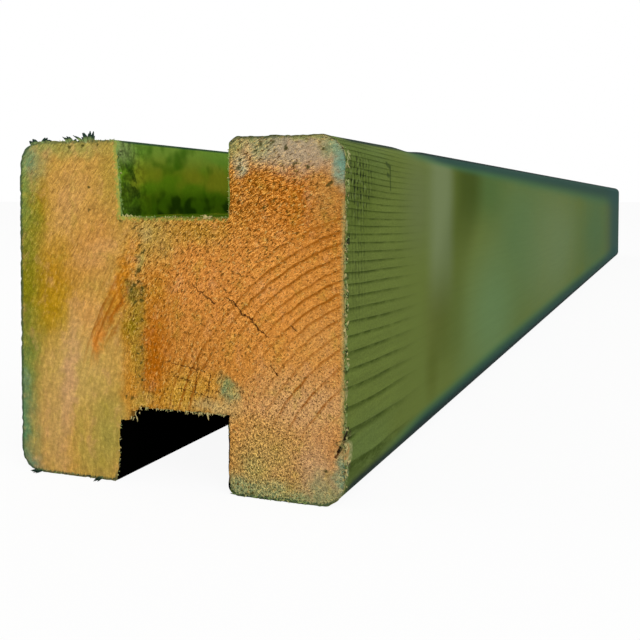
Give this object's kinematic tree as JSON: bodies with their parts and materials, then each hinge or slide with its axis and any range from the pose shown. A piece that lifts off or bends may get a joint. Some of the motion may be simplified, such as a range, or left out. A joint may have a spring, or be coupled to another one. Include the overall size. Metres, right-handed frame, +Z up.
{
  "type": "intermediate fence post",
  "caption": "H-section softwood fence post, slotted down two opposite faces to hold the edge of a fence panel on each side.",
  "frame": {"origin": "middle of the post's length and width, on the ground under it, with the post lying on the edges of its flanges", "axes": "+Y runs along the post from its marked sawn end to its plain end, +X across the two flanges, +Z up out of the upper slot's mouth"},
  "size_m": [0.095, 1.2, 0.092],
  "materials": {
    "treated_softwood": "planed, green pressure-treated faces and slots, with orange-brown sawn end grain"
  },
  "bodies": {
    "root": {"fence_post": "treated_softwood"}
  },
  "joints": []
}
